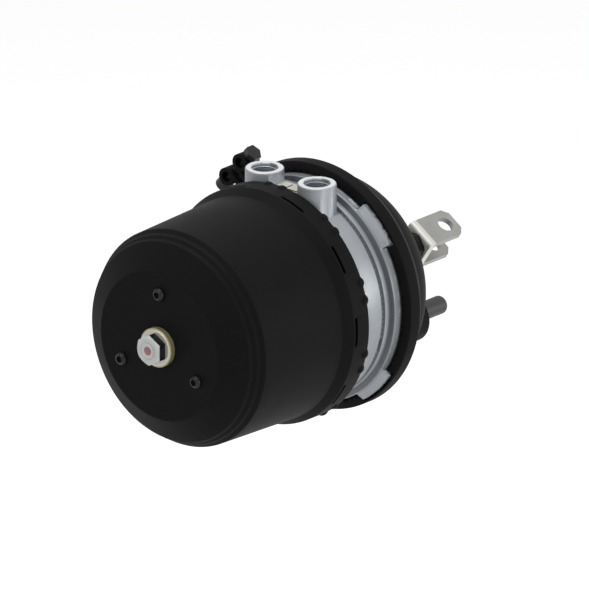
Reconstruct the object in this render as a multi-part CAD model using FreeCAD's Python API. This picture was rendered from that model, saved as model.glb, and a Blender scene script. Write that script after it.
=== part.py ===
import FreeCAD, Part
import math
import os

from FreeCAD import Vector

# Spring brake actuator: a service chamber and a spring chamber in line, joined by a cast flange.
# Millimetres. The push rod runs along +X, the air ports point up +Z, and the origin is the middle
# of the bracket face. Angles about the axis count from -Y (0 degrees) through +Z (90 degrees).

# Strokes and running clearances
stroke = 64.0
slide_gap = 0.3
fit_gap = 0.05
seat_gap = 0.2
stop_gap = 0.5

# Edges: those rounded less than the limit are broken with a bevel; cutters run past their faces
bevel_limit = 2.0
fine_edge = 0.6
plain_edge = 1.0
soft_edge = 2.0
deep_edge = 5.0
overrun = 1.0

# Both chambers, at the mouth of the spring housing
chamber_radius = 99.0

# Bracket face and studs
stud_circle = 60.3
stud_angle = -36.0
stud_radius = 8.0
stud_length = 38.6
stud_head_radius = 14.0
stud_head_height = 5.0
stud_neck = 0.6
stud_round = 3.5
pad_radius = 21.5
pad_rise = 2.4
pad_edge = 3.0

# Rear bowl
bowl_wall = 3.5
bowl_step = 0.4
bowl_round = 58.5
bowl_depth = 55.3
bowl_hole = 20.0
vent_radius = 5.0
vent_circle = 58.0
vent_angles = (54.0, 234.0)

# Clamped joint between flange and bowl
joint_land = 5.4
bead_thickness = 4.0
clamp_crest = 5.3
clamp_wall = 3.4
joint_edge = 3.4
clamp_wing_front = 2.7
clamp_wing_rear = 8.7
clamp_reach_front = 8.3
clamp_reach_rear = 6.8
clamp_angle = 137.0
clamp_split = 6.0
clamp_round = 3.5
barrel_radius = 8.0
barrel_hole = 4.6
barrel_length = 17.0
barrel_rise = 12.7
barrel_offset = 11.0
clamp_bolt_radius = 4.0
clamp_head_flats = 13.0
clamp_head_height = 5.5
clamp_nut_length = 10.0
clamp_nut_cap = 1.0
clamp_nut_radius = 6.6

# Cast flange between the chambers
flange_length = 68.4
flange_front_land = 11.8
web_thickness = 24.0
web_front_depth = 20.6
waist_depth = 3.9
rear_rim_step = 4.4
rear_rim_width = 16.1
ridge_rise = 0.8
ridge_width = 5.0
groove_depth = 3.0
groove_width = 3.8
dish_land = 12.0
dish_play = 2.0
hub_recess_radius = 26.0
hub_recess_depth = 3.5
lug_rise = 2.0
lug_length = 9.0
lug_land = 4.5
lug_round = 4.0
lug_angle = 22.5
lug_count = 4
lug_first = 45.0
lug_gap = 1.2

# Air ports
port_spacing = 58.8
port_set_back = 35.4
port_rise = 14.5
boss_radius = 16.8
boss_depth = 28.0
port_thread_radius = 10.2
port_thread_depth = 16.0
port_mouth_radius = 11.9
port_drill_radius = 6.0
port_drill_depth = 30.0
port_passage_radius = 4.0
bridge_rise = 3.5
bridge_width = 24.0
plate_length = 24.0
plate_width = 12.0
plate_thickness = 0.8
plate_corner = 1.5

# Spring housing, a drawn can crimped over the flange
can_wall = 3.0
can_length = 151.8
can_nose_drop = 33.0
can_nose_round = 4.0
can_steps = ((14.4, 10.2), (18.2, 9.4), (20.6, 6.6), (24.2, 6.1), (27.4, 2.8))
can_step_round = 1.4
shoulder_run = 9.5
shoulder_rise = 5.4
rim_length = 19.7
rim_round = 2.6
crimp_lip = 7.0
crimp_round = 0.8
slot_count = 10
slot_length = 26.5
slot_width = 3.0
slot_set_back = 15.1
tab_spread = 15.7
tab_rise = 1.7
tab_round = 6.0
tab_set_back = 2.6

# End plate screws and bearing plate
screw_edge = 6.0
screw_angles = (90.0, 206.5, 332.0)
screw_radius = 3.0
screw_head_radius = 5.8
screw_head_height = 4.2
screw_dome = 3.4
screw_socket_flats = 5.0
screw_socket_depth = 2.4
bearing_plate_drop = 13.0
bearing_plate_thickness = 6.0

# Release bolt
bolt_radius = 8.0
bolt_head_flats = 24.0
bolt_head_height = 9.0
bolt_head_bevel = 2.0
bolt_head_turn = 30.0
washer_radius = 17.4
washer_thickness = 5.4
washer_step_radius = 16.2
washer_step_height = 1.0
indicator_radius = 3.8
indicator_depth = 6.0
head_groove_radius = 7.4
head_groove_width = 0.8
head_groove_depth = 0.6
release_nut_length = 14.0

# Spring plate, push tube and foot
spring_plate_play = 3.2
spring_plate_thickness = 6.0
spring_plate_lip = 6.0
spring_plate_rim = 12.0
plate_draft = 2.0
plate_hub_radius = 26.0
plate_hub_length = 14.0
plate_nut_radius = 23.0
plate_nut_length = 8.0
plate_notch = 6.0
plate_notches = 4
tube_radius = 16.0
tube_bore_flats = 20.0
tube_end_wall = 4.0
tube_collar_radius = 24.0
tube_collar_length = 3.8
foot_radius = 24.0
foot_thickness = 3.2
foot_spigot = 6.0

# Bush and seal in the flange
bush_wall = 3.0
bush_length = 10.5
seal_lip = 1.2

# Diaphragms
rubber = 3.2
spring_bead = 6.4
spring_roll_width = 15.5
spring_roll_reach = 12.0
service_roll_width = 19.0
service_roll_reach = 40.0
roll_play = 1.0

# Coil springs, wound as short straight runs
runs_per_turn = 16
power_wire = 6.5
power_turns = 4.5
power_head_drop = 4.0
power_foot_drop = 8.0
return_wire = 2.3
return_turns = 4.0
return_head_play = 3.7
return_foot_radius = 38.0

# Push rod, lock nut and clevis
push_plate_play = 2.8
push_plate_thickness = 4.0
push_plate_lip = 5.0
push_plate_round = 3.0
rod_radius = 8.0
rod_hub_radius = 13.0
rod_hub_length = 8.5
rod_end = 66.4
boot_flange_radius = 24.5
boot_flange_thickness = 2.0
boot_lip = 1.6
boot_collar = 3.0
boot_overlap = 2.0
lock_nut_flats = 24.0
lock_nut_length = 10.0
nut_chamfer = 1.2
clevis_start = 57.4
clevis_end = 102.0
clevis_hole_x = 89.5
clevis_hole_radius = 7.15
clevis_roll = 34.0
clevis_width = 27.8
clevis_spread = 31.0
clevis_ear = 5.0
clevis_web = 7.0
clevis_bend = 4.0
clevis_corner = 5.6

# Radii that follow from the chambers
bowl_radius = chamber_radius - bowl_step
rim_radius = chamber_radius + shoulder_rise
can_nose_radius = chamber_radius - can_nose_drop
bearing_plate_radius = can_nose_radius - bearing_plate_drop
screw_circle = bearing_plate_radius - screw_edge
power_head_radius = can_nose_radius - power_head_drop
power_foot_radius = power_head_radius - power_foot_drop
joint_radius = bowl_radius + joint_land
clamp_radius = joint_radius + clamp_crest
clamp_lip_front = clamp_radius - clamp_reach_front
clamp_lip_rear = clamp_radius - clamp_reach_rear
barrel_circle = clamp_radius + barrel_rise
rear_rim_radius = joint_radius - rear_rim_step
waist_radius = rim_radius - crimp_lip - waist_depth
ridge_radius = waist_radius + ridge_rise
groove_radius = waist_radius - groove_depth
front_mouth = rim_radius - dish_land
rear_mouth = joint_radius - dish_land
lug_radius = joint_radius + lug_rise
port_height = waist_radius + port_rise
bridge_height = waist_radius + bridge_rise
service_roll_outer = rear_mouth - roll_play
service_roll_inner = service_roll_outer - service_roll_width
rear_dish_radius = service_roll_inner + dish_play
push_plate_radius = service_roll_inner - rubber - push_plate_play
return_head_radius = push_plate_radius - push_plate_thickness - return_wire - return_head_play

# Stations along the axis, worked back from the bracket face
bowl_bottom = -pad_rise
bowl_flange = bowl_bottom - bowl_depth
bead_rear = bowl_flange - bowl_wall
flange_rear = bead_rear - bead_thickness
flange_front = flange_rear - flange_length
web_front = flange_front + web_front_depth
web_rear = web_front + web_thickness
clamp_lean_front = clamp_wing_front / (clamp_radius - clamp_lip_front)
clamp_lean_rear = clamp_wing_rear / (clamp_radius - clamp_lip_rear)
clamp_front = flange_rear - joint_edge - seat_gap - clamp_wall * math.hypot(1, clamp_lean_front)
clamp_front += clamp_crest * clamp_lean_front
clamp_rear = bowl_flange + seat_gap + clamp_wall * math.hypot(1, clamp_lean_rear)
clamp_rear -= clamp_crest * clamp_lean_rear
rim_shelf = flange_rear - joint_edge - (joint_radius - rear_rim_radius) * clamp_lean_front
clamp_middle = (clamp_front + clamp_rear) / 2
rim_rear = flange_front + flange_front_land + seat_gap + can_wall
can_front = rim_rear - can_length
shoulder_x = rim_rear - rim_length
screw_seat = can_front
port_x = flange_rear - port_set_back
tube_collar_front = web_front + hub_recess_depth - stop_gap - tube_collar_length - stroke
spring_plate_rear = tube_collar_front - rubber
foot_rear = web_rear - seat_gap
tube_rear = foot_rear - foot_thickness
bolt_tip = tube_rear - foot_spigot - 2 * stop_gap
release_nut_rear = bolt_tip - stop_gap
release_nut_front = release_nut_rear - release_nut_length
tube_front = release_nut_front - 2 * stroke - stop_gap - tube_end_wall
push_plate_front = web_rear + seat_gap + rubber + seat_gap
bolt_seat = can_front - washer_thickness - washer_step_height - 2 * fit_gap

# The can's tapered inner wall, and what rolls and slides along it
taper_start = can_front + can_steps[-1][0]
taper = can_steps[-1][1] / (shoulder_x - shoulder_run - taper_start)
spring_roll_x = spring_plate_rear - spring_roll_reach
spring_mouth = chamber_radius - can_wall - slide_gap
spring_roll_outer = spring_mouth - can_steps[-1][1] + taper * (spring_roll_x - taper_start)
spring_roll_inner = spring_roll_outer - spring_roll_width
spring_plate_radius = spring_roll_inner - spring_plate_play
front_dish_radius = spring_plate_radius - dish_play

AXIS = Vector(1, 0, 0)
ORIGIN = Vector(0, 0, 0)
UP = Vector(0, 0, 1)


def outline(corners):
    """A closed wire through corners (x, radius, rounding), drawn above the axis."""
    points = [Vector(c[0], c[1], 0) for c in corners]
    edges = []
    start = None
    first = None
    for i, corner in enumerate(corners):
        here = points[i]
        back = (points[i - 1] - here).normalize()
        ahead = (points[(i + 1) % len(points)] - here).normalize()
        rounding = corner[2] if len(corner) > 2 else 0
        half = back.getAngle(ahead) / 2
        cut = rounding / math.tan(half) if rounding else 0
        arc_in = here + back * cut
        arc_out = here + ahead * cut
        if start is not None:
            edges.append(Part.LineSegment(start, arc_in).toShape())
        else:
            first = arc_in
        if rounding >= bevel_limit:
            middle = here + (back + ahead).normalize() * (rounding / math.sin(half) - rounding)
            edges.append(Part.Arc(arc_in, middle, arc_out).toShape())
        elif rounding:
            edges.append(Part.LineSegment(arc_in, arc_out).toShape())
        start = arc_out
    edges.append(Part.LineSegment(start, first).toShape())
    return Part.Wire(edges)


def turned(corners):
    """A solid turned about the axis from its outline."""
    return Part.Face(outline(corners)).revolve(ORIGIN, AXIS, 360)


def turned_part(corners, start, sweep):
    """A piece of a turned ring, from one angle over a sweep of degrees."""
    face = Part.Face(outline(corners))
    face.rotate(ORIGIN, AXIS, 180 - start)
    return face.revolve(ORIGIN, AXIS, -sweep)


def drawn(path, wall):
    """A drawn sheet of even wall: its outer line, and the same line set in by the wall."""
    points = [Vector(c[0], c[1], 0) for c in path]
    normals = []
    for a, b in zip(points, points[1:]):
        run = (b - a).normalize()
        normals.append(Vector(run.y, -run.x, 0))
    inner = []
    for i, corner in enumerate(path):
        before = normals[max(i - 1, 0)]
        after = normals[min(i, len(normals) - 1)]
        shift = (before + after) * (wall / (1 + before.dot(after)))
        place = points[i] + shift
        rounding = corner[2] if len(corner) > 2 else 0
        if rounding:
            turns_in = before.x * after.y - before.y * after.x < 0
            rounding = max(rounding - wall, 0) if turns_in else rounding + wall
        inner.append((place.x, place.y, rounding))
    return turned(list(path) + inner[::-1])


def place_at(shape, angle):
    """What was made at the top of the axis, turned to its angle."""
    copy = shape.copy()
    copy.rotate(ORIGIN, AXIS, 90 - angle)
    return copy


def pin(radius, x0, x1, y=0.0, z=0.0):
    """A cylinder along the axis."""
    return Part.makeCylinder(radius, x1 - x0, Vector(x0, y, z), AXIS)


def top_pin(radius, x, y, z0, z1):
    """An upright cylinder."""
    return Part.makeCylinder(radius, z1 - z0, Vector(x, y, z0), UP)


def block(x0, x1, y0, y1, z0, z1):
    return Part.makeBox(x1 - x0, y1 - y0, z1 - z0, Vector(x0, y0, z0))


def hexagon(flats, x0, x1):
    """A hexagonal prism along the axis."""
    corner = flats / 2 / math.cos(math.pi / 6)
    points = []
    for k in range(7):
        turn = k * math.pi / 3
        points.append(Vector(x0, corner * math.cos(turn), corner * math.sin(turn)))
    return Part.Face(Part.makePolygon(points)).extrude(Vector(x1 - x0, 0, 0))


def coil(wire, turns, x0, radius0, x1, radius1):
    """A conical coil spring between two faces."""
    runs = int(turns * runs_per_turn)
    points = []
    for k in range(runs + 1):
        share = k / runs
        turn = 2 * math.pi * turns * share
        radius = radius0 + (radius1 - radius0) * share
        x = x0 + wire + (x1 - x0 - 2 * wire) * share
        points.append(Vector(x, radius * math.cos(turn), radius * math.sin(turn)))
    section = Part.makeCircle(wire, points[0], points[1] - points[0])
    return Part.makePolygon(points).makePipeShell([Part.Wire(section)], True, False, 1)


def stud_centre(x, side):
    """A stud's axis point: side 1 is the stud near the viewer, side -1 the one opposite."""
    turn = math.radians(stud_angle)
    return Vector(x, -side * stud_circle * math.cos(turn), side * stud_circle * math.sin(turn))


def spring_housing():
    """The drawn steel can: stepped nose, tapered wall, and the crimped rim with its slots and tabs."""
    path = [(can_front, bolt_radius + slide_gap), (can_front, can_nose_radius, can_nose_round)]
    for run, drop in can_steps:
        path.append((can_front + run, chamber_radius - drop, can_step_round))
    path += [
        (shoulder_x - shoulder_run, chamber_radius, rim_round),
        (shoulder_x, rim_radius, rim_round),
        (rim_rear, rim_radius, crimp_round),
        (rim_rear, rim_radius - crimp_lip),
    ]
    can = drawn(path, can_wall)
    slot_middle = rim_rear - slot_set_back - slot_width / 2
    slot_half = (slot_length - slot_width) / 2
    low = rim_radius - 2 * can_wall
    high = rim_radius + can_wall
    slot = block(slot_middle - slot_width / 2, slot_middle + slot_width / 2, -slot_half, slot_half, low, high)
    slot = slot.fuse([top_pin(slot_width / 2, slot_middle, side * slot_half, low, high) for side in (-1, 1)])
    tab = Part.makeSphere(tab_round, Vector(rim_rear - tab_set_back, 0, rim_radius + tab_rise - tab_round))
    tab = tab.cut(pin(rim_radius - can_wall / 2, rim_rear - 2 * tab_round, rim_rear + tab_round))
    pitch = 360.0 / slot_count
    tab_turn = math.degrees(tab_spread / rim_radius)
    slots = [place_at(slot, k * pitch) for k in range(slot_count)]
    tabs = []
    for k in range(slot_count):
        for side in (-1, 1):
            tabs.append(place_at(tab, (k + 0.5) * pitch + side * tab_turn / 2))
    hole = pin(screw_radius, can_front - can_wall, can_front + 2 * can_wall, 0, screw_circle)
    holes = [place_at(hole, angle) for angle in screw_angles]
    return can.fuse(tabs).cut(slots + holes)


def end_screws():
    """Button-head screws that hold the bearing plate to the end of the can."""
    head = turned([
        (screw_seat, 0), (screw_seat, screw_head_radius, 0),
        (screw_seat - screw_head_height, screw_head_radius, screw_dome),
        (screw_seat - screw_head_height, 0),
    ])
    shank = pin(screw_radius - fit_gap, screw_seat, screw_seat + can_wall + bearing_plate_thickness)
    socket = hexagon(screw_socket_flats, screw_seat - 2 * screw_head_height,
                     screw_seat - screw_head_height + screw_socket_depth)
    screw = head.fuse(shank).cut(socket)
    screw.translate(Vector(0, 0, screw_circle))
    return Part.makeCompound([place_at(screw, angle) for angle in screw_angles])


def bearing_plate():
    """The thick disc inside the can's end that steadies the release bolt."""
    front = can_front + can_wall
    disc = turned([
        (front, bolt_radius + slide_gap), (front, bearing_plate_radius, plain_edge),
        (front + bearing_plate_thickness, bearing_plate_radius, soft_edge),
        (front + bearing_plate_thickness, bolt_radius + slide_gap),
    ])
    hole = pin(screw_radius, front - overrun, front + 2 * bearing_plate_thickness, 0, screw_circle)
    return disc.cut([place_at(hole, angle) for angle in screw_angles])


def thrust_washer():
    """The stepped washer that the release bolt's head bears on."""
    rear = can_front - fit_gap
    step = rear - washer_thickness
    front = step - washer_step_height
    hole = bolt_radius + slide_gap
    return turned([
        (rear, hole), (rear, washer_radius), (step, washer_radius, fine_edge),
        (step, washer_step_radius), (front, washer_step_radius, fine_edge), (front, hole),
    ])


def release_bolt():
    """The hexagon-headed spindle, with a grooved face and a bore for the indicator."""
    front = bolt_seat - bolt_head_height
    corner = bolt_head_flats / 2 / math.cos(math.pi / 6)
    head = hexagon(bolt_head_flats, front, bolt_seat)
    head.rotate(ORIGIN, AXIS, bolt_head_turn)
    bevel = turned([
        (front, 0), (front, bolt_head_flats / 2 - fine_edge), (front + bolt_head_bevel, corner + fit_gap),
        (bolt_seat, corner + fit_gap), (bolt_seat, 0),
    ])
    shank = turned([
        (bolt_seat, 0), (bolt_seat, bolt_radius), (bolt_tip, bolt_radius, plain_edge), (bolt_tip, 0),
    ])
    inside = head_groove_radius - head_groove_width / 2
    outside = head_groove_radius + head_groove_width / 2
    groove = turned([
        (front - overrun, inside), (front + head_groove_depth, inside),
        (front + head_groove_depth, outside), (front - overrun, outside),
    ])
    bore = pin(indicator_radius + fit_gap, front - overrun, front + indicator_depth)
    return head.common(bevel).fuse(shank).cut([groove, bore])


def release_indicator():
    """The coloured pin that shows in the middle of the bolt's head."""
    front = bolt_seat - bolt_head_height
    return turned([
        (front, 0), (front, indicator_radius, fine_edge),
        (front + indicator_depth - fit_gap, indicator_radius), (front + indicator_depth - fit_gap, 0),
    ])


def release_nut():
    """The hexagonal nut that climbs the spindle inside the push tube."""
    body = hexagon(tube_bore_flats - 2 * slide_gap, release_nut_front, release_nut_rear)
    return body.cut(pin(bolt_radius + fit_gap, release_nut_front - overrun, release_nut_rear + overrun))


def push_tube():
    """The tube that carries the spring's push through the flange; hexagonal inside."""
    collar_rear = tube_collar_front + tube_collar_length
    outer = turned([
        (tube_front, 0), (tube_front, tube_radius, plain_edge), (tube_collar_front, tube_radius),
        (tube_collar_front, tube_collar_radius), (collar_rear, tube_collar_radius, plain_edge),
        (collar_rear, tube_radius), (tube_rear, tube_radius), (tube_rear, 0),
    ])
    bore = hexagon(tube_bore_flats, tube_front + tube_end_wall, tube_rear + overrun)
    mouth = pin(bolt_radius + slide_gap, tube_front - overrun, tube_front + 2 * tube_end_wall)
    return outer.cut([bore, mouth])


def tube_foot():
    """The plug and foot that press on the service diaphragm."""
    spigot = tube_bore_flats / 2 - fit_gap
    return turned([
        (foot_rear, 0), (foot_rear, foot_radius, plain_edge), (tube_rear, foot_radius), (tube_rear, spigot),
        (tube_rear - foot_spigot, spigot, plain_edge), (tube_rear - foot_spigot, 0),
    ])


def spring_plate():
    """The dished plate that the power spring pushes on."""
    rear = spring_plate_rear
    web = rear - spring_plate_thickness
    hub = rear - plate_hub_length
    lip = rear - spring_plate_rim
    inside = spring_plate_radius - spring_plate_lip
    hole = tube_radius + fit_gap
    return turned([
        (rear, hole), (rear, spring_plate_radius, soft_edge), (lip, spring_plate_radius, plain_edge),
        (lip, inside, plain_edge), (web, inside - plate_draft), (web, plate_hub_radius + plate_draft),
        (hub, plate_hub_radius), (hub, hole),
    ])


def plate_nut():
    """The round nut that holds the spring plate on the push tube."""
    rear = spring_plate_rear - plate_hub_length
    front = rear - plate_nut_length
    hole = tube_radius + fit_gap
    nut = turned([
        (rear, hole), (rear, plate_nut_radius, fine_edge), (front, plate_nut_radius, fine_edge), (front, hole),
    ])
    half = plate_notch / 2
    notch = block(front - overrun, front + plate_nut_length / 2, -half, half,
                  plate_nut_radius - half, plate_nut_radius + overrun)
    return nut.cut([place_at(notch, k * 360.0 / plate_notches) for k in range(plate_notches)])


def spring_diaphragm():
    """The rubber sheet of the spring chamber: held in the crimp, rolled along the can, held at the tube."""
    back = spring_plate_rear + rubber
    outer = spring_roll_outer
    roll = spring_roll_x
    inner = spring_roll_inner
    bead_front = flange_front - spring_bead
    bead_radius = rim_radius - can_wall - seat_gap
    slope = shoulder_rise / shoulder_run
    slant = math.hypot(1, slope)
    bead_edge = shoulder_x + can_wall * (slant - 1) / slope + seat_gap
    crown = spring_roll_width / 2 - fit_gap
    hole = tube_radius + fit_gap
    return turned([
        (spring_plate_rear, hole), (spring_plate_rear, inner),
        (roll, inner, crown), (roll, outer, crown),
        (bead_front, spring_mouth),
        (bead_front, bead_radius - (bead_edge - bead_front) * slope),
        (bead_edge, bead_radius),
        (flange_front, bead_radius),
        (flange_front, spring_mouth - rubber),
        (roll + rubber, outer - rubber, crown - rubber), (roll + rubber, inner + rubber, crown - rubber),
        (back, inner + rubber, plain_edge), (back, hole),
    ])


def flange_body():
    """The cast aluminium flange: two dished faces, a waist, two port bosses and four locating lugs."""
    bush_radius = tube_radius + bush_wall
    land_rear = flange_front + flange_front_land
    rim_front = flange_rear - rear_rim_width
    groove_rear = rim_front - ridge_width
    groove_front = groove_rear - groove_width
    body = turned([
        (web_front + hub_recess_depth, bush_radius),
        (web_front + hub_recess_depth, hub_recess_radius),
        (web_front, hub_recess_radius),
        (web_front, front_dish_radius, deep_edge),
        (flange_front, front_mouth),
        (flange_front, rim_radius - can_wall - seat_gap),
        (land_rear, rim_radius - can_wall - seat_gap),
        (land_rear, waist_radius, soft_edge),
        (groove_front, waist_radius, fine_edge),
        (groove_front + groove_depth / 3, groove_radius),
        (groove_rear - groove_depth / 6, groove_radius),
        (groove_rear, ridge_radius, fine_edge),
        (rim_front, ridge_radius, fine_edge),
        (rim_front + rear_rim_step / 4, rear_rim_radius, plain_edge),
        (rim_shelf, rear_rim_radius),
        (flange_rear - joint_edge, joint_radius, fine_edge),
        (flange_rear, joint_radius),
        (flange_rear, rear_mouth, soft_edge),
        (web_rear, rear_dish_radius, deep_edge),
        (web_rear, hub_recess_radius),
        (web_rear - hub_recess_depth, hub_recess_radius),
        (web_rear - hub_recess_depth, bush_radius),
    ])
    added = [bridge()]
    holes = []
    for side in (-1, 1):
        y = side * port_spacing / 2
        added.append(port_boss(y))
        holes.append(port_bore(y, -side))
    added += [locating_lug(lug_first + k * 360.0 / lug_count) for k in range(lug_count)]
    return body.fuse(added).cut(holes)


def locating_lug(middle):
    """A lug that ramps up out of the rear rim into a notch of the clamp ring, its rear corners rounded."""
    rear = rim_shelf - seat_gap
    front = rear - lug_length
    lug = turned_part([
        (front, groove_radius), (front, rear_rim_radius), (rear - lug_land, lug_radius),
        (rear, lug_radius), (rear, groove_radius),
    ], middle - lug_angle / 2, lug_angle)
    corners = []
    for edge in lug.Edges:
        box = edge.BoundBox
        if edge.Curve.TypeId == "Part::GeomLine" and rear - box.XMin < fit_gap and box.XLength < fit_gap:
            corners.append(edge)
    return lug.makeFillet(lug_round, corners)


def port_boss(y):
    """One port boss, with a turned top edge."""
    boss = top_pin(boss_radius, port_x, y, port_height - boss_depth, port_height)
    return boss.makeChamfer(plain_edge, [e for e in boss.Edges if e.BoundBox.ZMin > port_height - plain_edge])


def port_bore(y, side):
    """Threaded port, its drilling and the passage to its own chamber."""
    mouth = Part.makeCone(
        port_thread_radius, port_mouth_radius, port_mouth_radius - port_thread_radius,
        Vector(port_x, y, port_height - (port_mouth_radius - port_thread_radius)), UP)
    thread = top_pin(port_thread_radius, port_x, y, port_height - port_thread_depth, port_height + overrun)
    drill = top_pin(port_drill_radius, port_x, y, port_height - port_drill_depth, port_height)
    z = port_height - port_drill_depth + port_passage_radius
    if side > 0:
        passage = pin(port_passage_radius, port_x, flange_rear + overrun, y, z)
    else:
        passage = pin(port_passage_radius, flange_front - overrun, port_x, y, z)
    return mouth.fuse([thread, drill, passage])


def bridge():
    """The flat-topped web between the two bosses."""
    return block(port_x - bridge_width / 2, port_x + bridge_width / 2,
                 -port_spacing / 2, port_spacing / 2, port_height - boss_depth, bridge_height)


def type_plate():
    """The thin bare plate on the web between the bosses."""
    plate = block(port_x - plate_width / 2, port_x + plate_width / 2,
                  -plate_length / 2, plate_length / 2, bridge_height, bridge_height + plate_thickness)
    return plate.makeFillet(plate_corner, [e for e in plate.Edges if e.BoundBox.ZLength > plate_thickness / 2])


def bulkhead_bush():
    """The plain bearing that guides the push tube."""
    front = web_rear - hub_recess_depth - bush_length
    hole = tube_radius + fit_gap
    outer = tube_radius + bush_wall - fit_gap
    rear = front + bush_length
    return turned([(front, hole), (front, outer), (rear, outer, fine_edge), (rear, hole, fine_edge)])


def bulkhead_seal():
    """The lip seal ahead of the bush."""
    front = web_front + hub_recess_depth
    rear = web_rear - hub_recess_depth - bush_length - fit_gap
    hole = tube_radius + fit_gap
    outer = tube_radius + bush_wall - fit_gap
    return turned([
        (front + stop_gap, outer), (front + stop_gap, hole + seal_lip), (front + 2 * seal_lip, hole),
        (rear, hole), (rear, outer),
    ])


def power_spring():
    """The heavy conical spring that applies the parking brake."""
    return coil(power_wire, power_turns, can_front + can_wall + slide_gap, power_head_radius,
                spring_plate_rear - spring_plate_thickness - slide_gap, power_foot_radius)


def service_diaphragm():
    """The rubber sheet of the service chamber: clamped at its rim, with a roll round the push plate."""
    front = web_rear + seat_gap
    outer = service_roll_outer
    inner = service_roll_inner
    roll = front + service_roll_reach
    crown = service_roll_width / 2 - fit_gap
    edge = joint_radius - stop_gap
    return turned([
        (front, 0), (front, inner, soft_edge),
        (roll - rubber, inner, crown - rubber), (roll - rubber, outer - rubber, crown - rubber),
        (flange_rear + seat_gap, outer - rubber), (flange_rear + seat_gap, edge),
        (bead_rear - seat_gap, edge), (bead_rear - seat_gap, outer),
        (roll, outer, crown), (roll, inner - rubber, crown),
        (front + rubber, inner - rubber, plain_edge), (front + rubber, 0),
    ])


def clamp_ring():
    """The V-section band that squeezes flange and bowl together, with rolled barrel ends for its bolt."""
    lip_front = clamp_front - clamp_wing_front
    lip_rear = clamp_rear + clamp_wing_rear
    ring = drawn([
        (lip_front, clamp_lip_front), (clamp_front, clamp_radius, plain_edge),
        (clamp_rear, clamp_radius, clamp_round), (lip_rear, clamp_lip_rear),
    ], clamp_wall)
    split = block(lip_front - overrun, lip_rear + overrun, -clamp_split / 2, clamp_split / 2,
                  clamp_lip_front - 3 * clamp_wall, clamp_radius + overrun)
    cuts = [place_at(split, clamp_angle)]
    notch = [
        (lip_front - overrun, waist_radius), (lip_front - overrun, lug_radius + lug_gap),
        (flange_rear - clamp_wall, lug_radius + lug_gap), (flange_rear - clamp_wall, waist_radius),
    ]
    spare = math.degrees(lug_gap / lug_radius)
    for k in range(lug_count):
        start = lug_first + k * 360.0 / lug_count - lug_angle / 2 - spare
        cuts.append(turned_part(notch, start, lug_angle + 2 * spare))
    ends = []
    for side in (-1, 1):
        y = side * barrel_offset
        barrel = pin(barrel_radius, clamp_middle - barrel_length / 2, clamp_middle + barrel_length / 2,
                     y, barrel_circle)
        foot = sorted((side * clamp_split / 2, side * (clamp_split / 2 + clamp_wall)))
        strap = block(clamp_middle - barrel_length / 2, clamp_middle + barrel_length / 2,
                      foot[0], foot[1], clamp_radius - clamp_wall / 2, barrel_circle)
        hole = pin(barrel_hole, clamp_middle - barrel_length, clamp_middle + barrel_length, y, barrel_circle)
        ends.append(place_at(barrel.fuse(strap).cut(hole), clamp_angle))
    reach = 2 * (barrel_offset + barrel_radius)
    bolt_way = Part.makeCylinder(clamp_bolt_radius + seat_gap, 2 * reach,
                                 Vector(clamp_middle, -reach, barrel_circle), Vector(0, 1, 0))
    return ring.cut(cuts).fuse(ends).cut(place_at(bolt_way, clamp_angle))


def bolt_station(distance):
    """A point on the clamp bolt's line, before it is turned to its angle."""
    return Vector(clamp_middle, distance, barrel_circle)


def clamp_bolt():
    """The hexagon bolt that draws the clamp's ends together."""
    seat = -(barrel_offset + barrel_radius)
    head = hexagon(clamp_head_flats, 0, clamp_head_height)
    head.rotate(ORIGIN, UP, 90)
    head.translate(bolt_station(seat - clamp_head_height))
    end = barrel_offset + barrel_radius + clamp_nut_length - clamp_nut_cap
    shank = Part.makeCylinder(clamp_bolt_radius, end - seat, bolt_station(seat), Vector(0, 1, 0))
    return place_at(head.fuse(shank), clamp_angle)


def clamp_nut():
    """The long round nut on the clamp bolt."""
    seat = barrel_offset + barrel_radius
    nut = Part.makeCylinder(clamp_nut_radius, clamp_nut_length, bolt_station(seat), Vector(0, 1, 0))
    nut = nut.makeChamfer(plain_edge, [e for e in nut.Edges if e.BoundBox.YMin > seat + clamp_nut_length / 2])
    bore = Part.makeCylinder(clamp_bolt_radius + fit_gap, clamp_nut_length - clamp_nut_cap + seat_gap,
                             bolt_station(seat), Vector(0, 1, 0))
    return place_at(nut.cut(bore), clamp_angle)


def bowl(inset):
    """The bowl as a full solid, set in by an amount, with the bracket pads that stand out of it."""
    round_off = min(bowl_round, bowl_depth + bowl_wall - seat_gap, bowl_radius - bowl_hole) - inset
    front = bowl_flange - bowl_wall
    body = turned([
        (front, 0), (front, bowl_radius - inset), (bowl_bottom - inset, bowl_radius - inset, round_off),
        (bowl_bottom - inset, 0),
    ])
    pad = turned([
        (bowl_flange + bowl_wall, 0), (bowl_flange + bowl_wall, pad_radius - inset),
        (-inset, pad_radius - inset, max(pad_edge - inset, 0)), (-inset, 0),
    ])
    pads = []
    for side in (1, -1):
        copy = pad.copy()
        copy.translate(stud_centre(0, side))
        pads.append(copy)
    return body.fuse(pads)


def rear_housing():
    """The pressed steel bowl of the service chamber, with its clamped rim, pads, rod hole and vents."""
    front = bowl_flange - bowl_wall
    rim = turned([
        (front, bowl_radius - bowl_wall), (front, joint_radius), (bowl_flange, joint_radius, fine_edge),
        (bowl_flange, bowl_radius - bowl_wall),
    ])
    holes = [pin(bowl_hole, -2 * pad_radius, overrun)]
    for side in (1, -1):
        middle = stud_centre(0, side)
        holes.append(pin(stud_radius + stud_neck + fit_gap, -2 * pad_radius, overrun, middle.y, middle.z))
    vent = pin(vent_radius, -2 * pad_radius, overrun, 0, vent_circle)
    holes += [place_at(vent, angle) for angle in vent_angles]
    return bowl(0).fuse(rim).cut([bowl(bowl_wall)] + holes)


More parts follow.
